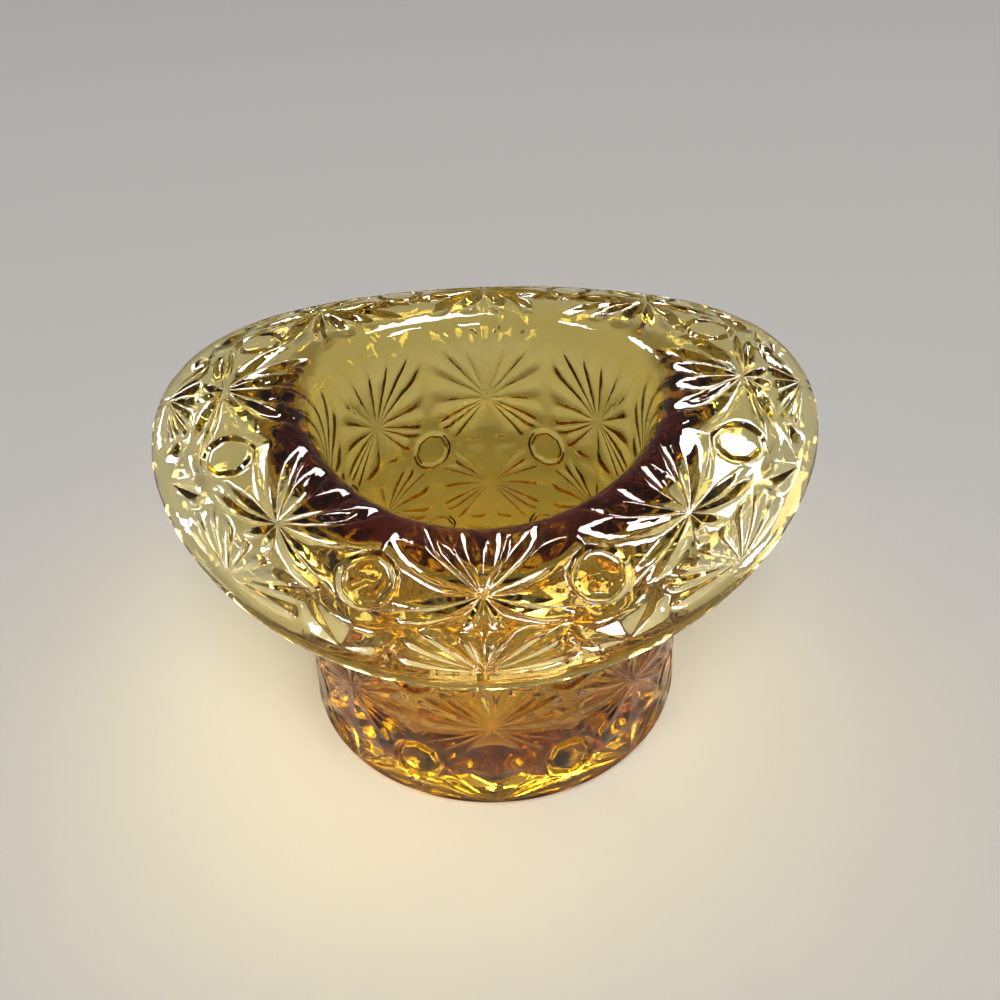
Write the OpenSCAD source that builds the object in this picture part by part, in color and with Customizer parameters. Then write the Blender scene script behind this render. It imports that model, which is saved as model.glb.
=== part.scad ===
// Glass hat: pressed amber glass, crown standing on its closed end, open mouth and rolled brim at the top.
// One pressing on the real object. Each node is one zone of it, as the zones leave the tools that form them.
// Origin at the centre of the closed end, +Z up, +X to the wide side of the brim, front at -Y. Millimetres.

/* [Crown] */
// Outer radius of the crown where it stands
base_r = 33.6; // [32.5:0.1:36]
// Outer radius of the crown under the brim
crown_r = 31.4; // [30.5:0.1:32]
// Height of the crown wall up to the start of the roll
wall_h = 50; // [40:0.5:60]
// Small bevel round the standing edge
foot_bevel = 0.8; // [0.3:0.1:1.5]

/* [Hollow] */
// Radius of the hollow
bore_r = 25.5; // [23:0.1:26.5]
// Thickness of the closed end
floor_t = 7; // [5:0.5:10]
// Rounded corner between floor and wall of the hollow
bore_fillet = 8; // [4:0.5:10]

/* [Roll at the mouth] */
// Radius at which the roll is highest
crest_r = 32; // [30:0.1:34]
// Mean height of the roll above the wall
crest_rise = 10.6; // [9:0.1:14]
// How far the roll lifts at the sides and dips at front and back
crest_sway = 2.4; // [0:0.1:3]
// Radius at which the underside of the brim begins
under_r = 34.6; // [34:0.1:36]
// Glass thickness under the roll
crest_t = 5; // [4:0.1:6]

/* [Brim] */
// Mean radius of the lip's centre
rim_r = 49.15; // [46:0.05:56]
// Extra lip radius at the sides, less at front and back
rim_sway = 0.35; // [0:0.05:2]
// Mean drop from the roll's top to the lip's centre
rim_drop = 6; // [4:0.1:8]
// How far the lip lifts at the sides and dips at front and back
rim_lift = 5; // [0:0.1:6]
// Mean slope of the brim where it meets the lip, degrees
rim_slope = 30; // [20:1:40]
// Change of that slope between the sides and the front, degrees
slope_sway = 15; // [0:1:20]
// Thickness of the rounded lip
lip_t = 3; // [2.4:0.1:3.6]

/* [Daisies] */
// Depth of the pointed rays
ray_depth = 0.9; // [0.4:0.1:1.2]
// Half width of a crown daisy along the girth
daisy_w = 10.6; // [8:0.1:11]
// Half height of a crown daisy
daisy_h = 9.2; // [6:0.1:9.4]
// Height of the lower row of crown daisies
low_row = 19.5; // [18.5:0.1:20.5]
// Height of the upper row of crown daisies
high_row = 40; // [39:0.1:40.5]
// Height of the half daisies that rise from the standing edge
fan_h = 8; // [5:0.1:8.6]

/* [Buttons] */
// Radius of a button
button_r = 3.2; // [2.4:0.1:3.4]
// Width of the groove round a button
groove_w = 1.1; // [0.6:0.1:1.2]
// Depth of that groove
groove_d = 0.8; // [0.4:0.1:1.2]
// Height of the lower row of crown buttons
low_button = 9.4; // [8.5:0.1:10]
// Height of the upper row of crown buttons
high_button = 29.8; // [29:0.1:30.5]

/* [Hidden] */
$fn = 96;
// Columns of daisies round the hat, and rays in a whole daisy
columns = 8;
rays = 16;
// Share of a daisy's reach at which its rays start and are widest
ray_start = 0.14;
ray_mid = 0.6;
// Share of the pitch a ray fills
ray_fill = 0.88;
// Height by which a cutter stands out of the glass
proud = 0.5;
// Steps round the hat and along each curve of the zones that sway
around = 72;
roll_steps = 8;
cove_steps = 6;
top_steps = 9;
under_steps = 7;
lip_steps = 8;
crest_z = wall_h + crest_rise;
rim_z = crest_z - rim_drop;
lip_r = lip_t / 2;
floor_r = bore_r - bore_fillet;
// Pull of the brim curves at each end
top_pull = (rim_r - crest_r) / 3;
under_pull = (rim_r - under_r) / 3.6;
amber = [0.80, 0.55, 0.12];
pale_amber = [0.84, 0.68, 0.32];

// Heights and slopes of the swaying zones at one angle round the hat
function crest_top(a) = crest_z + crest_sway * cos(2 * a);
function lip_mid(a) = [rim_r + rim_sway * cos(2 * a), rim_z + rim_lift * cos(2 * a)];
function lip_slope(a) = rim_slope - slope_sway * cos(2 * a);
function along(a) = [cos(lip_slope(a)), -sin(lip_slope(a))];
function upright(a) = [sin(lip_slope(a)), cos(lip_slope(a))];

// A smooth curve from p to q that leaves with pull m and arrives with pull n
function bend(p, m, n, q, t) =
    pow(1 - t, 3) * p + 3 * pow(1 - t, 2) * t * (p + m) + 3 * (1 - t) * t * t * (q - n) + t * t * t * q;

// Section curves, each a list of [radius, height]
function roll_curve(a) = [for (i = [0:roll_steps]) let (f = 90 * i / roll_steps)
    [crest_r - (crest_r - bore_r) * cos(f), wall_h + (crest_top(a) - wall_h) * sin(f)]];
function cove_curve(a) = [for (i = [0:cove_steps]) let (f = 90 * i / cove_steps)
    [under_r - (under_r - crown_r) * cos(f), wall_h + (crest_top(a) - crest_t - wall_h) * sin(f)]];
function top_curve(a) = let (p = [crest_r, crest_top(a)], q = lip_mid(a) + lip_r * upright(a))
    [for (i = [0:top_steps]) bend(p, [top_pull, 0], top_pull * along(a), q, i / top_steps)];
function under_curve(a) = let (p = [under_r, crest_top(a) - crest_t], q = lip_mid(a) - lip_r * upright(a))
    [for (i = [0:under_steps]) bend(p, [under_pull, 0], under_pull * along(a), q, i / under_steps)];
function lip_curve(a) = [for (i = [0:lip_steps]) let (f = 180 * i / lip_steps)
    lip_mid(a) + lip_r * (cos(f) * upright(a) + sin(f) * along(a))];

// Closed section of each zone, run clockwise as seen with the axis on the left
function throat_section(a) = concat(roll_curve(a), reversed(cove_curve(a)));
function brim_section(a) = concat(top_curve(a), reversed(under_curve(a)));
function lip_section(a) = lip_curve(a);
function reversed(list) = [for (i = [len(list) - 1:-1:0]) list[i]];

// Place on the crown: x along the girth, y up, h out of the glass
function crown_at(z) = base_r + (crown_r - base_r) * z / wall_h;
function on_crown(a, z, x, y, h) = let (r = crown_at(z + y), b = a + x / r * 180 / PI)
    [(r + h) * cos(b), (r + h) * sin(b), z + y];

// Angles of the daisy columns and of the button columns between them
function daisy_angle(c) = 360 * c / columns - 90;
function button_angle(c) = 360 * (c + 0.5) / columns - 90;

// Corners of one ray of a daisy, as reaches along and across: start, left, tip, right, keel
function ray_spots(f, w, l) = let (s = ray_fill * 180 / rays * (ray_depth + proud) / ray_depth)
    [for (v = [[ray_start, f], [ray_mid, f + s], [1, f], [ray_mid, f - s], [ray_mid, f]])
        [v[0] * w * cos(v[1]), v[0] * l * sin(v[1])]];
function ray_height(i) = i == 4 ? -ray_depth : proud;
ray_faces = [[0, 1, 3], [1, 2, 3], [0, 4, 1], [1, 4, 2], [2, 4, 3], [3, 4, 0]];

// Cutter for one ray on the crown
module crown_ray(a, z, f, l) {
    spots = ray_spots(f, daisy_w, l);
    polyhedron([for (i = [0:4]) on_crown(a, z, spots[i][0], spots[i][1], ray_height(i))], ray_faces);
}

// Cutter for the groove round a button, standing on its floor with its axis up
module button_groove() {
    difference() {
        cylinder(r = button_r + groove_w, h = groove_d + 3);
        cylinder(r = button_r, h = groove_d + 3);
    }
}

// Everything cut into the crown
module crown_pattern() {
    for (c = [0:columns - 1]) {
        for (z = [low_row, high_row])
            for (i = [0:rays - 1])
                crown_ray(daisy_angle(c), z, 360 * (i + 0.5) / rays, daisy_h);
        for (i = [0:rays / 2 - 1])
            crown_ray(daisy_angle(c), 0, 360 * (i + 0.5) / rays, fan_h);
        for (z = [low_button, high_button])
            rotate([0, 0, button_angle(c)])
            translate([crown_at(z) - groove_d, 0, z])
            rotate([0, 90, 0])
            button_groove();
    }
}

// A ring swept through sections that change with the angle
module swept_ring(sections) {
    count = len(sections);
    side = len(sections[0]);
    points = [for (k = [0:count - 1]) let (a = 360 * k / count)
        for (p = sections[k]) [p[0] * cos(a), p[0] * sin(a), p[1]]];
    faces = [for (k = [0:count - 1]) for (i = [0:side - 1])
        let (m = (k + 1) % count, j = (i + 1) % side)
        for (tri = [[k * side + i, k * side + j, m * side + j], [k * side + i, m * side + j, m * side + i]]) tri];
    polyhedron(points, faces, convexity = 6);
}

function angles() = [for (k = [0:around - 1]) 360 * k / around];

// Closed end of the crown, left by the mould's bottom plate
module base() {
    color(amber)
    cylinder(r = floor_r, h = floor_t);
}

// Tapered wall with the rounded corner of the hollow and the daisy and button pattern outside
module crown_wall() {
    color(amber)
    difference() {
        rotate_extrude()
        polygon([[floor_r, 0], [base_r - foot_bevel, 0], [base_r, foot_bevel], [crown_r, wall_h], [floor_r, wall_h]]);
        translate([0, 0, floor_t])
        rotate_extrude()
        union() {
            translate([0, bore_fillet])
            square([bore_r, wall_h]);
            square([floor_r, bore_fillet]);
            translate([floor_r, bore_fillet])
            intersection() {
                circle(r = bore_fillet);
                translate([0, -bore_fillet])
                square(bore_fillet);
            }
        }
        crown_pattern();
    }
}

// Roll from the upright wall to the level brim
module throat() {
    color(amber)
    swept_ring([for (a = angles()) throat_section(a)]);
}

// Brim, lifted at the sides and turned down at front and back
module brim() {
    color(pale_amber)
    swept_ring([for (a = angles()) brim_section(a)]);
}

// Fire-rounded edge of the brim
module lip() {
    color(pale_amber)
    swept_ring([for (a = angles()) lip_section(a)]);
}

base();
crown_wall();
throat();
brim();
lip();
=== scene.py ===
# %% [markdown]
# # A pressed glass hat
# A small amber hat that stands on its crown, mouth up. It was pressed in one go: a mould left the daisies
# and buttons on the outside of the crown and, probably with a patterned ring, on top of the brim. A plunger
# left the hollow smooth, and the brim was bent by hand while it was soft. The lesson starts from the solid
# model, which gives the place and the size of every zone.

# %% Load the solid model
import math

import bpy
import numpy as np
from mathutils import Matrix
from mathutils import Vector


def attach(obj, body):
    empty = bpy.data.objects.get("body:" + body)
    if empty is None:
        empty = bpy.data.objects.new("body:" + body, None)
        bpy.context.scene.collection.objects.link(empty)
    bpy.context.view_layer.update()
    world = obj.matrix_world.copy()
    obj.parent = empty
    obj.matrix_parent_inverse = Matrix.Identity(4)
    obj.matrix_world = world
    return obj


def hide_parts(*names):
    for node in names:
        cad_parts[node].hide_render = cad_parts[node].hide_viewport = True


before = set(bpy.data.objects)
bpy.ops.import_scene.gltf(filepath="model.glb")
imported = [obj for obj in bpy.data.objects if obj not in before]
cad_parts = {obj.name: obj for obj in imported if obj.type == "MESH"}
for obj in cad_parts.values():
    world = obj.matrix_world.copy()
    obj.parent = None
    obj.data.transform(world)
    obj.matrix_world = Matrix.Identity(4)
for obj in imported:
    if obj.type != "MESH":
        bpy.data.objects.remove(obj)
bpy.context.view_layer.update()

print("zones:", sorted(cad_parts))

# %% [markdown]
# ## Sizes of the hat
# These are the named sizes of the solid model, in millimetres. The visual glass follows the same curves,
# so that it fills the same space. Added here are the pattern on top of the brim, a slightly fuller roll at
# the mouth, and a shallow hollow with a star under the base, which the photo does not show but which many
# pressed pieces have.

# %% Sizes
MM = 0.001
BASE_R = 33.6
CROWN_R = 31.4
WALL_H = 50.0
FOOT_BEVEL = 0.8
BORE_R = 25.5
FLOOR_T = 7.0
BORE_FILLET = 8.0
CREST_R = 32.0
CREST_Z = 60.6
CREST_SWAY = 2.4
UNDER_R = 34.6
CREST_T = 5.0
RIM_R = 49.15
RIM_SWAY = 0.35
RIM_Z = 54.6
RIM_LIFT = 5.0
RIM_SLOPE = math.radians(30.0)
SLOPE_SWAY = math.radians(15.0)
LIP_R = 1.5
ROLL_FULLNESS = 0.7
RECESS_R = 27.5
RECESS_DEPTH = 0.7
RECESS_BEVEL = 1.6
FLOOR_R = BORE_R - BORE_FILLET
TOP_PULL = (RIM_R - CREST_R) / 3
UNDER_PULL = (RIM_R - UNDER_R) / 3.6
print("brim", 2 * (RIM_R + RIM_SWAY + LIP_R), "mm wide, roll", CREST_Z + CREST_SWAY, "mm high at the sides")

# %% [markdown]
# ## The skin as one long strip
# The whole surface of the hat can be walked along one line: from the middle of the standing face, out to
# the foot, up the crown, under the brim, round the lip, back over the brim, down the roll and the wall of
# the hollow, to the middle of its floor. Laid flat, the skin is a sheet: one way runs round the hat, the
# other along that walk. A mould maker works the pattern on such a flat drawing too, and then wraps it.
# Each stretch of the walk is a curve that gives a radius and a height at a place t from 0 to 1, for an
# angle a round the hat. The first three make the outside of the crown.

# %% Stretches of the crown
def standing_face(a, t):
    radius = (BASE_R - FOOT_BEVEL) * t
    return radius, RECESS_DEPTH * np.clip((RECESS_R - radius) / RECESS_BEVEL, 0, 1)


def foot(a, t):
    return BASE_R - FOOT_BEVEL * (1 - t), FOOT_BEVEL * t


def crown(a, t):
    return BASE_R + (CROWN_R - BASE_R) * t, FOOT_BEVEL + (WALL_H - FOOT_BEVEL) * t


print("crown from", 2 * BASE_R, "to", 2 * CROWN_R, "mm across")

# %% [markdown]
# ## The bent brim
# While the glass was soft, the brim was lifted at the two sides and pulled down at front and back. A wave
# of twice the angle does the same: it sways the height of the crest, and the place and the slope of the
# lip. Between crest and lip the brim is a smooth bend with given directions at its ends, above and below.

# %% Stretches of the brim
def bend(start, leave, arrive, end, t):
    return (
        (1 - t) ** 3 * start
        + 3 * (1 - t) ** 2 * t * (start + leave)
        + 3 * (1 - t) * t ** 2 * (end - arrive)
        + t ** 3 * end
    )


def crest_top(a):
    return CREST_Z + CREST_SWAY * np.cos(2 * a)


def lip_slope(a):
    return RIM_SLOPE - SLOPE_SWAY * np.cos(2 * a)


def lip_point(a, turn):
    slope = lip_slope(a)
    radius = RIM_R + RIM_SWAY * np.cos(2 * a)
    height = RIM_Z + RIM_LIFT * np.cos(2 * a)
    radius = radius + LIP_R * (np.cos(turn) * np.sin(slope) + np.sin(turn) * np.cos(slope))
    height = height + LIP_R * (np.cos(turn) * np.cos(slope) - np.sin(turn) * np.sin(slope))
    return radius, height


def cove(a, t):
    turn = t * math.pi / 2
    rise = crest_top(a) - CREST_T - WALL_H
    return UNDER_R - (UNDER_R - CROWN_R) * np.cos(turn), WALL_H + rise * np.sin(turn)


def brim_under(a, t):
    end_r, end_z = lip_point(a, math.pi)
    slope = lip_slope(a)
    start_z = crest_top(a) - CREST_T
    radius = bend(UNDER_R, UNDER_PULL, UNDER_PULL * np.cos(slope), end_r, t)
    return radius, bend(start_z, 0, -UNDER_PULL * np.sin(slope), end_z, t)


def lip(a, t):
    return lip_point(a, math.pi * (1 - t))


def brim_top(a, t):
    end_r, end_z = lip_point(a, 0.0)
    slope = lip_slope(a)
    radius = bend(CREST_R, TOP_PULL, TOP_PULL * np.cos(slope), end_r, 1 - t)
    return radius, bend(crest_top(a), 0, -TOP_PULL * np.sin(slope), end_z, 1 - t)


print("crest at the front", round(float(crest_top(-math.pi / 2)), 2), "mm high")

# %% [markdown]
# ## The mouth and the hollow
# The brim rolls over into the mouth. The plunger then left a straight hollow with a rounded corner and a
# flat floor. The roll is a quarter of an oval, made a little fuller by a power below 1.

# %% Stretches of the hollow
def roll(a, t):
    turn = (1 - t) * math.pi / 2
    across = np.clip(np.cos(turn), 0, 1) ** ROLL_FULLNESS
    up = np.clip(np.sin(turn), 0, 1) ** ROLL_FULLNESS
    return CREST_R - (CREST_R - BORE_R) * across, WALL_H + (crest_top(a) - WALL_H) * up


def bore(a, t):
    return BORE_R + 0 * t, WALL_H + (FLOOR_T + BORE_FILLET - WALL_H) * t


def corner(a, t):
    turn = t * math.pi / 2
    return FLOOR_R + BORE_FILLET * np.cos(turn), FLOOR_T + BORE_FILLET * (1 - np.sin(turn))


def floor(a, t):
    return FLOOR_R * (1 - t), FLOOR_T + 0 * t


print("hollow", 2 * BORE_R, "mm across")

# %% [markdown]
# ## The whole walk
# Each stretch gets a start and an end on the walk, in millimetres that are close to the real way along
# the glass. The walk is 0 at the outer edge of the standing face. The rows of the pattern are later given
# as places on the walk, so they can be moved without a thought for the curves.

# %% Walk
WALK_START = -33.0
FOOT_END = 0.8
CROWN_END = 50.0
COVE_END = 57.0
UNDER_END = 72.0
LIP_END = 77.0
TOP_END = 96.0
ROLL_END = 109.0
BORE_END = 144.0
CORNER_END = 156.5
WALK_END = 174.0
WALK = [
    (standing_face, WALK_START, 0.0),
    (foot, 0.0, FOOT_END),
    (crown, FOOT_END, CROWN_END),
    (cove, CROWN_END, COVE_END),
    (brim_under, COVE_END, UNDER_END),
    (lip, UNDER_END, LIP_END),
    (brim_top, LIP_END, TOP_END),
    (roll, TOP_END, ROLL_END),
    (bore, ROLL_END, BORE_END),
    (corner, BORE_END, CORNER_END),
    (floor, CORNER_END, WALK_END),
]
print("walk of", WALK_END - WALK_START, "mm in", len(WALK), "stretches")

# %% [markdown]
# ## Wrapping the sheet
# On the flat sheet x counts half columns of the pattern, sixteen round the hat, with the front daisy at 0.
# y is the walk in millimetres and z is how far the glass stands out. Wrapping turns x into an angle, looks
# up the walk, and moves each point along the normal of the walk by z.

# %% Wrap a flat sheet round the hat
COLUMNS = 8
HALF_COLUMN = math.pi / COLUMNS
FRONT = -math.pi / 2
NORMAL_STEP = 0.05


def walk_point(a, y):
    radius = np.zeros_like(y)
    height = np.zeros_like(y)
    for stretch, start, end in WALK:
        here = (y >= start) & (y <= end)
        r, z = stretch(a[here], (y[here] - start) / (end - start))
        radius[here] = r
        height[here] = z
    return radius, height


def wrap(flat):
    a = FRONT + HALF_COLUMN * flat[:, 0]
    y = flat[:, 1]
    r, z = walk_point(a, y)
    r1, z1 = walk_point(a, np.clip(y - NORMAL_STEP, WALK_START, WALK_END))
    r2, z2 = walk_point(a, np.clip(y + NORMAL_STEP, WALK_START, WALK_END))
    run = np.hypot(r2 - r1, z2 - z1)
    r = r + flat[:, 2] * (z2 - z1) / run
    z = z - flat[:, 2] * (r2 - r1) / run
    return np.stack([r * np.cos(a), r * np.sin(a), z], axis=1) * MM


right_lip = np.array([[4.0, (UNDER_END + LIP_END) / 2, 0.0]])
print("lip at the right side:", wrap(right_lip).round(4).tolist())

# %% [markdown]
# ## One flat wheel of points
# Daisies and buttons are both round: lines run out from a middle and rings lie round it. A wheel is made
# once for each kind: a small circle filled with a fan, whose edge is pushed out again and again. For a half
# daisy the points below the middle line are deleted.

# %% Make a wheel
BELOW_MIDDLE = -0.001


def wheel(name, spokes, rings, half=False):
    bpy.ops.object.select_all(action="DESELECT")
    bpy.ops.mesh.primitive_circle_add(vertices=spokes, radius=1.0, fill_type="TRIFAN")
    piece = bpy.context.object
    piece.name = name
    bpy.ops.object.mode_set(mode="EDIT")
    bpy.ops.mesh.select_mode(type="EDGE")
    for ring in range(2, rings + 1):
        bpy.ops.mesh.select_all(action="DESELECT")
        bpy.ops.mesh.select_non_manifold(
            extend=False, use_wire=False, use_boundary=True,
            use_multi_face=False, use_non_contiguous=False, use_verts=False,
        )
        bpy.ops.mesh.extrude_edges_move()
        size = ring / (ring - 1)
        bpy.ops.transform.resize(value=(size, size, 1.0), center_override=(0.0, 0.0, 0.0))
    bpy.ops.mesh.select_mode(type="VERT")
    bpy.ops.mesh.select_all(action="DESELECT")
    bpy.ops.object.mode_set(mode="OBJECT")
    if half:
        for vertex in piece.data.vertices:
            vertex.select = vertex.co.y < BELOW_MIDDLE
        bpy.ops.object.mode_set(mode="EDIT")
        bpy.ops.mesh.delete(type="VERT")
        bpy.ops.object.mode_set(mode="OBJECT")
    return piece


# %% [markdown]
# ## Points by their place
# The rings of a wheel sit at whole numbers and its spokes at even angles, so the ring and the spoke of any
# point can be found again from its place. Reading and writing all points at once keeps this quick.

# %% Read and write points
def points_of(piece):
    found = np.empty(len(piece.data.vertices) * 3)
    piece.data.vertices.foreach_get("co", found)
    return found.reshape(-1, 3)


def put_points(piece, points):
    piece.data.vertices.foreach_set("co", np.ascontiguousarray(points).ravel())
    piece.data.update()


def ring_and_spoke(piece, spokes):
    points = points_of(piece)
    ring = np.rint(np.hypot(points[:, 0], points[:, 1])).astype(int)
    angle = np.arctan2(points[:, 1], points[:, 0]) % (2 * math.pi)
    spoke = np.rint(angle / (2 * math.pi) * spokes).astype(int) % spokes
    return ring, spoke


# %% [markdown]
# ## Outlines that fit together
# Like floor tiles, the daisies and buttons share their outlines, so that the glass closes without cracks.
# Each outline is walked in petals. Along a petal the points lie close together at its two ridges, where
# the glass turns sharply, and further apart between them.

# %% Outlines
PETAL = np.array([0.0, 0.06, 0.14, 0.3, 0.5, 0.7, 0.86, 0.94])
FIRST_HALF = 2 * PETAL[:4]
SECOND_HALF = 2 * PETAL[4:] - 1


def petals(number):
    return np.concatenate([(count + PETAL) / number for count in range(number)])


def edge(start, end, places):
    return np.array(start) * (1 - places[:, None]) + np.array(end) * places[:, None]


def arc(middle, reach, turn_from, turn_to, places):
    turn = np.radians(turn_from + (turn_to - turn_from) * places)
    return np.stack([middle[0] + reach[0] * np.cos(turn), middle[1] + reach[1] * np.sin(turn)], axis=1)


FOOT_LINE = FOOT_END
LOW_BUTTON = 9.4
LOW_DAISY = 19.5
HIGH_BUTTON = 29.8
HIGH_DAISY = 40.0
COVE_LINE = 55.0
FAN_LINE = 78.0
BRIM_ROW = 87.6
CREST_LINE = 98.8
BUTTON_REACH = 4.4
CROWN_MIDDLE_R = 32.3
BRIM_MIDDLE_R = 40.1
CROWN_REACH = (BUTTON_REACH / (CROWN_MIDDLE_R * HALF_COLUMN), BUTTON_REACH)
BRIM_REACH = (BUTTON_REACH / (BRIM_MIDDLE_R * HALF_COLUMN), BUTTON_REACH)
RING_LINE = BRIM_ROW - BUTTON_REACH
HOLE_LINE = BRIM_ROW + BUTTON_REACH
rx, ry = CROWN_REACH
print("button tile reaches", CROWN_REACH, "on the crown and", BRIM_REACH, "on the brim")

# %% [markdown]
# ## Pressing the petals and the buttons
# A daisy is a star of grooves: each starts near the middle, grows deeper, narrows to a point and runs out
# at the outline, with a ridge left between neighbours. The grooves of the crown are rounded like leaves,
# and those of the brim have two nearly flat facets. A button is a flat eight-sided top with a groove round
# it. Both are pressed into the wheel by setting how deep each ring and spoke lies. The way out is counted
# from 0 in the middle to 1 at the outline.

# %% Press the tiles
DAISY_RINGS = [0.06, 0.12, 0.2, 0.29, 0.4, 0.51, 0.62, 0.73, 0.82, 0.89, 0.95, 1.0]
FAN_RINGS = [0.015, 0.05, 0.1, 0.16, 0.22, 0.28, 0.35, 0.42, 0.5, 0.58, 0.66, 0.74, 0.82, 0.89, 0.95, 1.0]
BUTTON_RINGS = [0.12, 0.28, 0.44, 0.58, 0.68, 0.74, 0.79, 0.85, 0.9, 0.95, 1.0]
BUTTON_STEPS = [0.0, 0.0, 0.0, 0.0, 0.0, -0.1, -0.5, -0.75, -0.6, -0.15, 0.0]
EIGHT_FADE = 0.25
FACETED = 1.15
ROUNDED = 2.0
GROOVE_START = 0.05
WIDEST = 0.78
GROOVE_END = 0.99
RUN_OUT = 0.2
PETAL_HALF = 0.48
POINT_HALF = 0.2


def groove_along(way_out, widest):
    rise = (way_out - GROOVE_START) / (widest - GROOVE_START)
    return np.clip(np.minimum(rise, (GROOVE_END - way_out) / RUN_OUT), 0, 1)


def groove_across(places, half_width, roundness):
    return np.clip(1 - (np.abs(places - 0.5) / half_width) ** roundness, 0, 1)


def daisy(
    name, middle, outline, depth, rings=DAISY_RINGS,
    half=False, places=None, widest=WIDEST, roundness=FACETED,
):
    spokes = len(outline) * 2 - 2 if half else len(outline)
    piece = wheel(name, spokes, len(rings), half)
    ring, spoke = ring_and_spoke(piece, spokes)
    way_out = np.array([0.0] + rings)[ring]
    reach = outline[np.minimum(spoke, len(outline) - 1)] - np.array(middle)
    flat = np.zeros((len(ring), 3))
    flat[:, :2] = np.array(middle) + way_out[:, None] * reach
    places = np.resize(PETAL, len(outline) + 1) if places is None else places
    across = places[np.minimum(spoke, len(places) - 1)]
    half_width = np.clip(PETAL_HALF * (1 - way_out) / (1 - widest), POINT_HALF, PETAL_HALF)
    flat[:, 2] = -depth * groove_along(way_out, widest) * groove_across(across, half_width, roundness)
    put_points(piece, flat)
    return piece


def button(name, middle, reach, outline):
    piece = wheel(name, len(outline), len(BUTTON_RINGS))
    ring, spoke = ring_and_spoke(piece, len(outline))
    way_out = np.array([0.0] + BUTTON_RINGS)[ring]
    ray = outline[spoke]
    turn = np.arctan2(ray[:, 1], ray[:, 0])
    eight = np.cos(math.pi / 8) / np.cos(turn % (math.pi / 4) - math.pi / 8)
    eight = 1 + (eight - 1) * np.clip((1 - way_out) / EIGHT_FADE, 0, 1)
    flat = np.zeros((len(ring), 3))
    flat[:, :2] = np.array(middle) + (way_out * eight)[:, None] * ray * np.array(reach)
    flat[:, 2] = np.array([0.0] + BUTTON_STEPS)[ring]
    put_points(piece, flat)
    return piece


print("depth along a petal:", groove_along(np.array(DAISY_RINGS), WIDEST).round(2).tolist())

# %% [markdown]
# ## The tiles of the crown
# One column of the crown holds, from the foot up, a half daisy on the standing edge, a daisy, and a second
# daisy whose petals reach into the cove. The buttons sit half a column to the side, between the daisies.
# Only one column is modelled here. It is copied round the hat later, as the mould repeats it too.

# %% Model the crown tiles
def crown_daisy_outline():
    return np.concatenate([
        edge((1, LOW_DAISY), (1, HIGH_BUTTON - ry), petals(1)),
        arc((1, HIGH_BUTTON), CROWN_REACH, 270, 180, petals(2)),
        edge((1 - rx, HIGH_BUTTON), (rx - 1, HIGH_BUTTON), petals(2)),
        arc((-1, HIGH_BUTTON), CROWN_REACH, 0, -90, petals(2)),
        edge((-1, HIGH_BUTTON - ry), (-1, LOW_DAISY), petals(1)),
        edge((-1, LOW_DAISY), (-1, LOW_BUTTON + ry), petals(1)),
        arc((-1, LOW_BUTTON), CROWN_REACH, 90, 0, petals(2)),
        edge((rx - 1, LOW_BUTTON), (1 - rx, LOW_BUTTON), petals(2)),
        arc((1, LOW_BUTTON), CROWN_REACH, 180, 90, petals(2)),
        edge((1, LOW_BUTTON + ry), (1, LOW_DAISY), petals(1)),
    ])


def high_daisy_outline():
    return np.concatenate([
        edge((1, HIGH_DAISY), (1, COVE_LINE), petals(2)),
        edge((1, COVE_LINE), (-1, COVE_LINE), petals(4)),
        edge((-1, COVE_LINE), (-1, HIGH_DAISY), petals(2)),
        edge((-1, HIGH_DAISY), (-1, HIGH_BUTTON + ry), petals(1)),
        arc((-1, HIGH_BUTTON), CROWN_REACH, 90, 0, petals(2)),
        edge((rx - 1, HIGH_BUTTON), (1 - rx, HIGH_BUTTON), petals(2)),
        arc((1, HIGH_BUTTON), CROWN_REACH, 180, 90, petals(2)),
        edge((1, HIGH_BUTTON + ry), (1, HIGH_DAISY), petals(1)),
    ])


def foot_fan_outline():
    return np.concatenate([
        edge((1, FOOT_LINE), (1, LOW_BUTTON - ry), petals(1)),
        arc((1, LOW_BUTTON), CROWN_REACH, 270, 180, petals(2)),
        edge((1 - rx, LOW_BUTTON), (rx - 1, LOW_BUTTON), petals(2)),
        arc((-1, LOW_BUTTON), CROWN_REACH, 0, -90, petals(2)),
        edge((-1, LOW_BUTTON - ry), (-1, FOOT_LINE), petals(1)),
        [(-1, FOOT_LINE)],
    ])


leaf = {"depth": 0.6, "roundness": ROUNDED}
crown_button = arc((0, 0), (1, 1), 90, 450, petals(8))
crown_tiles = [
    daisy("foot_fan", (0, FOOT_LINE), foot_fan_outline(), rings=FAN_RINGS, half=True, **leaf),
    daisy("low_daisy", (0, LOW_DAISY), crown_daisy_outline(), **leaf),
    daisy("high_daisy", (0, HIGH_DAISY), high_daisy_outline(), **leaf),
    button("low_button", (1, LOW_BUTTON), CROWN_REACH, crown_button),
    button("high_button", (1, HIGH_BUTTON), CROWN_REACH, crown_button),
]
for tile in crown_tiles:
    print(tile.name, len(tile.data.vertices), "points")

# %% [markdown]
# ## Outlines on the brim
# On top of the brim a half daisy opens from the lip, and a daisy further in reaches to the roll. Between
# two columns sits a button, with a tuft of three leaves on its side towards the lip. The rays differ in
# width, so their ends are given one by one, and the tiles on both sides of a line use the same ends.

# %% Outlines of the brim tiles
RAY_ENDS = [-1.0, -0.6, -0.24, 0.0, 0.24, 0.6, 1.0]
FAN_END = 0.66
LIP_RINGS = [0.03, 0.1, 0.2, 0.32, 0.44, 0.56, 0.68, 0.8, 0.91, 1.0]
TUFT_RINGS = [0.12, 0.3, 0.5, 0.7, 0.87, 1.0]


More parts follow.
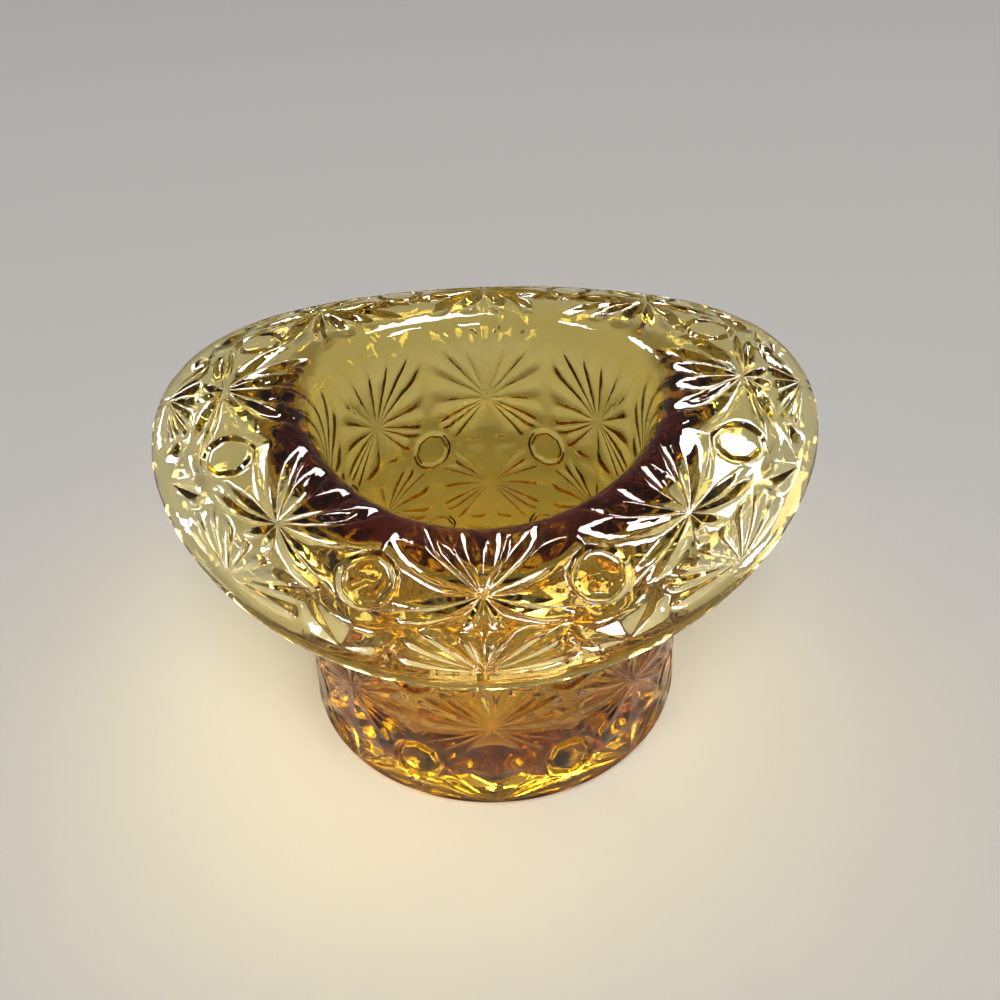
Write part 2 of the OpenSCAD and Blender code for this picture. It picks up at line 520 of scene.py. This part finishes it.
def brim_daisy_outline():
    rays = [edge((x, RING_LINE), (end, RING_LINE), petals(1)) for x, end in zip(RAY_ENDS, RAY_ENDS[1:])]
    return np.concatenate(rays + [
        arc((1, BRIM_ROW), BRIM_REACH, 270, 180, petals(1)),
        arc((1, BRIM_ROW), BRIM_REACH, 180, 90, FIRST_HALF),
        edge((1, HOLE_LINE), (1, CREST_LINE), SECOND_HALF),
        edge((1, CREST_LINE), (-1, CREST_LINE), petals(4)),
        edge((-1, CREST_LINE), (-1, HOLE_LINE), FIRST_HALF),
        arc((-1, BRIM_ROW), BRIM_REACH, 90, 0, SECOND_HALF),
        arc((-1, BRIM_ROW), BRIM_REACH, 0, -90, petals(1)),
    ])


def brim_daisy_places():
    wide = petals(2)
    return np.concatenate([wide, PETAL, PETAL, wide] + [PETAL] * 8)


def tuft_places():
    wide = petals(2)
    return np.concatenate([wide, wide, wide, [0.0]])


def lip_fan_outline():
    ends = RAY_ENDS[1:-1]
    rays = [edge((-x, RING_LINE), (-end, RING_LINE), petals(1)) for x, end in zip(ends, ends[1:])]
    out = edge((FAN_END, FAN_LINE), (ends[-1], RING_LINE), petals(2))
    back = edge((ends[0], RING_LINE), (-FAN_END, FAN_LINE), petals(2))
    return np.concatenate([out] + rays + [back, [(-FAN_END, FAN_LINE)]])


def tuft_outline():
    near = RAY_ENDS[-2]
    far = 2 - near
    return np.concatenate([
        edge((2 - FAN_END, FAN_LINE), (far, RING_LINE), petals(2)),
        edge((far, RING_LINE), (1, RING_LINE), petals(1)),
        edge((1, RING_LINE), (near, RING_LINE), petals(1)),
        edge((near, RING_LINE), (FAN_END, FAN_LINE), petals(2)),
        [(FAN_END, FAN_LINE)],
    ])


print("outline points:", len(brim_daisy_outline()), len(lip_fan_outline()), len(tuft_outline()))

# %% [markdown]
# ## The tiles of the brim
# The grooves of the brim are more than twice as deep as those of the crown, because the photo shows strong
# glints there. The rays of its daisy are widest halfway out. Its button has more points on the half towards
# the lip, where a whole ray of each neighbour ends, than on the other half, where half a ray ends.

# %% Model the brim tiles
BRIM_DEPTH = 1.4
brim_star = {"places": brim_daisy_places(), "widest": 0.5}
lip_tuft = {"places": tuft_places(), "half": True}
brim_button = np.concatenate([
    arc((0, 0), (1, 1), 90, 180, SECOND_HALF),
    arc((0, 0), (1, 1), 180, 360, petals(2)),
    arc((0, 0), (1, 1), 360, 450, FIRST_HALF),
])
brim_tiles = [
    daisy("lip_fan", (0, FAN_LINE), lip_fan_outline(), BRIM_DEPTH, LIP_RINGS, half=True),
    daisy("lip_tuft", (1, FAN_LINE), tuft_outline(), BRIM_DEPTH, TUFT_RINGS, **lip_tuft),
    daisy("brim_daisy", (0, BRIM_ROW), brim_daisy_outline(), BRIM_DEPTH, **brim_star),
    button("brim_button", (1, BRIM_ROW), BRIM_REACH, brim_button),
]
for tile in brim_tiles:
    print(tile.name, len(tile.data.vertices), "points")

# %% [markdown]
# ## The smooth zones
# The underside of the brim, the lip, most of the roll and the hollow carry no pattern, and the standing
# face only gets its star when all is joined. These zones are three grids whose columns stand where the
# daisies end, so that their edges meet point for point.

# %% Make the smooth sheets
FAN_COLUMNS = [-ring for ring in reversed(FAN_RINGS)] + [0.0] + FAN_RINGS[:-1]
DAISY_COLUMNS = list(2 * petals(4) - 1)
tuft_half = [(1 - FAN_END) * ring for ring in TUFT_RINGS]
fan_half = [FAN_END * ring for ring in LIP_RINGS]
LIP_COLUMNS = [-1.0] + [place - 1 for place in tuft_half]
LIP_COLUMNS += [-place for place in reversed(fan_half[:-1])] + [0.0] + fan_half
LIP_COLUMNS += [1 - place for place in reversed(tuft_half[:-1])]


def all_round(places):
    closing = 2 * COLUMNS - 1
    return np.array([2 * column + place for column in range(COLUMNS) for place in places] + [closing])


def smooth_sheet(name, rows, first, last):
    first = all_round(first)
    last = all_round(last)
    bpy.ops.object.select_all(action="DESELECT")
    bpy.ops.mesh.primitive_grid_add(x_subdivisions=len(first) - 1, y_subdivisions=len(rows) - 1, size=2.0)
    piece = bpy.context.object
    piece.name = name
    points = points_of(piece)
    column = np.rint((points[:, 0] + 1) / 2 * (len(first) - 1)).astype(int)
    row = np.rint((points[:, 1] + 1) / 2 * (len(rows) - 1)).astype(int)
    share = row / (len(rows) - 1)
    x = first[column] * (1 - share) + last[column] * share
    put_points(piece, np.stack([x, np.array(rows)[row], np.zeros(len(points))], axis=1))
    return piece


def rows_between(stops):
    rows = [stops[0][0]]
    for start, end, steps in stops:
        rows += list(np.linspace(start, end, steps + 1))[1:]
    return rows


standing_rows = [WALK_START, -30.0, -27.0, -23.0, -19.0, -15.0, -11.0, -8.0, -6.4, -5.3, -4.5, -1.0]
standing_rows += [0.0, 0.25, FOOT_LINE]
under_rows = rows_between([
    (COVE_LINE, COVE_END, 2),
    (COVE_END, UNDER_END, 8),
    (UNDER_END, LIP_END, 11),
    (LIP_END, FAN_LINE, 2),
])
hollow_rows = rows_between([
    (CREST_LINE, ROLL_END, 15),
    (ROLL_END, BORE_END, 7),
    (BORE_END, CORNER_END, 10),
    (CORNER_END, WALK_END, 3),
])
sheets = [
    smooth_sheet("standing_sheet", standing_rows, FAN_COLUMNS, FAN_COLUMNS),
    smooth_sheet("under_sheet", under_rows, DAISY_COLUMNS, LIP_COLUMNS),
    smooth_sheet("hollow_sheet", hollow_rows, DAISY_COLUMNS, DAISY_COLUMNS),
]
print("smooth sheets of", [len(sheet.data.vertices) for sheet in sheets], "points")

# %% [markdown]
# ## One flat sheet
# The tiles of one column are copied round the hat, and joined with the smooth sheets into one object. It
# is still flat, apart from the grooves, like the drawing of a mould maker.

# %% Join the flat sheet
def copies_round(tile):
    made = [tile]
    for column in range(1, COLUMNS):
        copy = tile.copy()
        copy.data = tile.data.copy()
        bpy.context.collection.objects.link(copy)
        points = points_of(copy)
        points[:, 0] += 2 * column
        put_points(copy, points)
        made.append(copy)
    return made


flat_pieces = sheets + [copy for tile in crown_tiles + brim_tiles for copy in copies_round(tile)]
print("joining", len(flat_pieces), "flat pieces")
bpy.ops.object.select_all(action="DESELECT")
for piece in flat_pieces:
    piece.select_set(True)
glass = sheets[1]
bpy.context.view_layer.objects.active = glass
bpy.ops.object.join()
glass.name = "glass_hat"
glass.data.name = "glass_hat"

# %% [markdown]
# ## Mould lines and star
# Two more things are pressed in before the sheet is wrapped. A hair-fine line runs up every second daisy
# column, where the mould parts met. Under the base lies a star of folds, which throws light up into the
# crown. It starts shallow near the middle, and runs out before the edge of the hollow under the base.

# %% Press the mould lines and the star
SEAM_DEPTH = 0.1
SEAM_HALF = 0.004
SEAM_FROM = 1.0
SEAM_TO = 85.0
STAR_DEPTH = 1.6
STAR_FROM = -31.0
STAR_RISE = 12.0
STAR_TO = -6.5
STAR_FALL = 8.0
flat = points_of(glass)
round_hat = flat[:, 0]
walk = flat[:, 1]
on_seam = (np.abs((round_hat + 2) % 4 - 2) < SEAM_HALF) & (walk > SEAM_FROM) & (walk < SEAM_TO)
print("points on mould lines:", int(on_seam.sum()))
flat[:, 2] -= np.where(on_seam, SEAM_DEPTH, 0.0)
star_reach = np.minimum((walk - STAR_FROM) / STAR_RISE, (STAR_TO - walk) / STAR_FALL)
star_fold = 2 * np.abs(round_hat - np.rint(round_hat))
flat[:, 2] -= STAR_DEPTH * np.clip(star_reach, 0, 1) * star_fold

# %% [markdown]
# ## Closing the glass
# The flat sheet is wrapped round the hat. The points that meet are merged, which closes the glass into one
# skin, and the faces are turned outwards. Light is only bent rightly by a skin without gaps, so the points
# at open edges are counted. The glass then takes the place of the five zones of the solid model.

# %% Wrap and close the glass
MERGE_DISTANCE = 0.000002
put_points(glass, wrap(flat))
bpy.ops.object.mode_set(mode="EDIT")
bpy.ops.mesh.select_mode(type="VERT")
bpy.ops.mesh.select_all(action="SELECT")
bpy.ops.mesh.remove_doubles(threshold=MERGE_DISTANCE)
bpy.ops.mesh.normals_make_consistent(inside=False)
bpy.ops.mesh.select_all(action="DESELECT")
bpy.ops.mesh.select_non_manifold()
bpy.ops.object.mode_set(mode="OBJECT")
open_points = sum(vertex.select for vertex in glass.data.vertices)
bpy.ops.object.shade_smooth()
glass.data.calc_loop_triangles()
print("glass:", len(glass.data.vertices), "points,", len(glass.data.loop_triangles), "triangles")
print("open points:", open_points)

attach(glass, "root")
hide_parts("base", "crown_wall", "throat", "brim", "lip")

# %% [markdown]
# ## A helper for shaders
# A material in Blender is a net of nodes, and sums and products are Math nodes. A small class lets them be
# written as plain expressions: each plus or times adds its node. All new nodes come from one function,
# which takes a node's type, its settings and what goes into its sockets. The noise lies in the object's
# own coordinates, so it sticks to the object.

# %% Shader helper
class Flow:
    """A socket that can be used in plain expressions."""

    def __init__(self, tree, socket):
        self.tree = tree
        self.socket = socket

    def maths(self, operation, first, second):
        node = add_node(self.tree, "ShaderNodeMath", {"operation": operation}, {0: first, 1: second})
        return Flow(self.tree, node.outputs[0])

    def __add__(self, other):
        return self.maths("ADD", self, other)

    def __radd__(self, other):
        return self.maths("ADD", other, self)

    def __mul__(self, other):
        return self.maths("MULTIPLY", self, other)

    def __rmul__(self, other):
        return self.maths("MULTIPLY", other, self)


def add_node(tree, kind, settings=None, inputs=None):
    node = tree.nodes.new(kind)
    for name, value in (settings or {}).items():
        setattr(node, name, value)
    for name, value in (inputs or {}).items():
        if isinstance(value, Flow):
            tree.links.new(value.socket, node.inputs[name])
        else:
            node.inputs[name].default_value = value
    return node


def noise(tree, scale):
    place = Flow(tree, add_node(tree, "ShaderNodeTexCoord").outputs["Object"])
    node = add_node(tree, "ShaderNodeTexNoise", None, {"Vector": place, "Scale": scale})
    return Flow(tree, node.outputs["Fac"])


# %% [markdown]
# ## Amber glass
# Glass shows almost nothing of itself: it bends and mirrors what is round it, and swallows blue light the
# longer the way through it is. So the surface is clear and the amber sits in the volume: a thin brim looks
# straw coloured and a thick edge dark brown. A faint bump gives the soft waves of pressed glass.

# %% Amber glass material
def amber_glass():
    material = bpy.data.materials.new("pressed_amber")
    material.use_nodes = True
    tree = material.node_tree
    tree.nodes.clear()
    waves = noise(tree, 90.0)
    ripple = noise(tree, 330.0)
    grain = noise(tree, 900.0)
    relief = waves + 0.4 * ripple + 0.05 * grain
    bump = add_node(tree, "ShaderNodeBump", None, {"Strength": 0.2, "Distance": 0.001, "Height": relief})
    skin = add_node(tree, "ShaderNodeBsdfPrincipled", None, {
        "Base Color": (1.0, 1.0, 1.0, 1.0),
        "Roughness": 0.02 * grain,
        "IOR": 1.52,
        "Transmission Weight": 1.0,
        "Normal": Flow(tree, bump.outputs["Normal"]),
    })
    amber = add_node(tree, "ShaderNodeVolumeAbsorption", None, {
        "Color": (0.875, 0.755, 0.0, 1.0),
        "Density": 240.0,
    })
    output = add_node(tree, "ShaderNodeOutputMaterial")
    tree.links.new(skin.outputs["BSDF"], output.inputs["Surface"])
    tree.links.new(amber.outputs["Volume"], output.inputs["Volume"])
    return material


glass.data.materials.clear()
glass.data.materials.append(amber_glass())
print("glass material:", glass.data.materials[0].name)

# %% [markdown]
# ## Floor
# The photo was cut out on white, so its floor is not known. A pale matt floor is used, as in a small
# product photo, because much of what the glass shows is the floor behind and below it. It lies a hair
# below the standing face, so that the two do not touch.

# %% Floor
FLOOR_GAP = 0.0002


def floor_material():
    material = bpy.data.materials.new("pale_floor")
    material.use_nodes = True
    tree = material.node_tree
    skin = tree.nodes["Principled BSDF"]
    tree.links.new((0.62 + 0.06 * noise(tree, 40.0)).socket, skin.inputs["Roughness"])
    skin.inputs["Base Color"].default_value = (0.8, 0.795, 0.785, 1.0)
    skin.inputs["Specular IOR Level"].default_value = 0.0
    return material


bpy.ops.object.select_all(action="DESELECT")
bpy.ops.mesh.primitive_plane_add(size=6.0, location=(0.0, 0.0, -FLOOR_GAP))
ground = bpy.context.object
ground.name = "floor"
ground.data.materials.append(floor_material())
print("floor of", [round(side, 2) for side in ground.dimensions], "m")

# %% [markdown]
# ## Lamps
# Soft lamps stand round the hat. A large one in front lights the floor, and is not mirrored in the glass.
# Five smaller ones are there for the glints: they do not light the floor themselves, only what of them
# comes through the glass falls on it.

# %% Lamps
LAMP_AIM = Vector((0.0, 0.0, 0.05))


def softbox(name, side, height, distance, size, power, tint=(1.0, 0.96, 0.92)):
    side = math.radians(side)
    height = math.radians(height)
    level = math.cos(height)
    away = Vector((math.sin(side) * level, math.cos(side) * level, math.sin(height)))
    light = bpy.data.lights.new(name, "AREA")
    light.shape = "RECTANGLE"
    light.size = size[0]
    light.size_y = size[1]
    light.energy = power
    light.color = tint
    lamp = bpy.data.objects.new(name, light)
    lamp.location = LAMP_AIM + distance * away
    lamp.rotation_euler = away.to_track_quat("Z", "Y").to_euler()
    bpy.context.collection.objects.link(lamp)
    return lamp


# Name, side and height in degrees, distance and size in metres, power in watts and tint
glint_lamps = [
    softbox("back_window", 30, 60, 1.0, (0.5, 0.4), 18.0, (1.0, 0.94, 0.92)),
    softbox("front_lamp", 165, 62, 1.0, (0.2, 0.1), 4.0),
    softbox("left_lamp", -75, 50, 1.0, (0.12, 0.3), 5.0),
    softbox("right_lamp", 100, 45, 1.0, (0.12, 0.3), 5.0),
    softbox("low_lamp", -40, 30, 1.0, (0.25, 0.1), 3.6),
]
for lamp in glint_lamps:
    lamp.visible_diffuse = False
floor_lamp = softbox("floor_lamp", 175, 56, 2.0, (0.8, 0.8), 24.0, (1.0, 0.95, 0.9))
floor_lamp.visible_glossy = False
print(len(glint_lamps), "glint lamps and one lamp for the floor")

# %% [markdown]
# ## Room
# Clear glass mirrors the whole room, so the room is not black. Its walls are a little warmer and brighter
# than its ceiling, and the two blend with the height of the direction in which a ray leaves.

# %% Room
CEILING_BLEND = 1.6
world = bpy.data.worlds.new("room")
bpy.context.scene.world = world
world.use_nodes = True
tree = world.node_tree
tree.nodes.clear()
ceiling = add_node(tree, "ShaderNodeBackground", None, {"Color": (0.95, 0.97, 1.0, 1.0), "Strength": 0.18})
walls = add_node(tree, "ShaderNodeBackground", None, {"Color": (1.0, 0.95, 0.88, 1.0), "Strength": 0.3})
direction = Flow(tree, add_node(tree, "ShaderNodeTexCoord").outputs["Generated"])
parts = add_node(tree, "ShaderNodeSeparateXYZ", None, {"Vector": direction})
upward = Flow(tree, parts.outputs["Z"])
mix = add_node(tree, "ShaderNodeMixShader", None, {"Fac": CEILING_BLEND * upward})
tree.links.new(walls.outputs["Background"], mix.inputs[1])
tree.links.new(ceiling.outputs["Background"], mix.inputs[2])
tree.links.new(mix.outputs["Shader"], add_node(tree, "ShaderNodeOutputWorld").inputs["Surface"])
bpy.context.scene.view_settings.view_transform = "Standard"
print("room of", len(tree.nodes), "nodes")

# %% [markdown]
# ## Camera
# The camera stands where the photo was taken from. Its place was fitted to the outline of the hat: about
# 200 mm away, looking down at 43 degrees, turned a little and rolled a little. The lens and the shift turn
# the fitted pixels into Blender's measures.

# %% Camera
LOOK_DOWN = math.radians(42.72)
TURN = math.radians(1.6)
ROLL = math.radians(2.59)
DISTANCE = 200.0
AIM = Vector((0.0, 0.0, 25.0))
PICTURE_PIXELS = 1000
FOCAL_PIXELS = 1131.67
MIDDLE_PIXEL = (490.5, 562.9)
SENSOR = 36.0

bpy.ops.object.camera_add()
camera = bpy.context.object
camera.name = "camera"
ahead = math.cos(LOOK_DOWN)
look = Vector((-math.sin(TURN) * ahead, math.cos(TURN) * ahead, -math.sin(LOOK_DOWN)))
camera.location = (AIM - DISTANCE * look) * MM
upright = look.to_track_quat("-Z", "Y").to_matrix()
camera.rotation_euler = (upright @ Matrix.Rotation(-ROLL, 3, "Z")).to_euler()
camera.data.sensor_width = SENSOR
camera.data.lens = SENSOR * FOCAL_PIXELS / PICTURE_PIXELS
camera.data.shift_x = (PICTURE_PIXELS / 2 - MIDDLE_PIXEL[0]) / PICTURE_PIXELS
camera.data.shift_y = (MIDDLE_PIXEL[1] - PICTURE_PIXELS / 2) / PICTURE_PIXELS
camera.data.clip_start = 0.01
bpy.context.scene.camera = camera
print("camera at", [round(c, 4) for c in camera.location], "lens", round(camera.data.lens, 2))
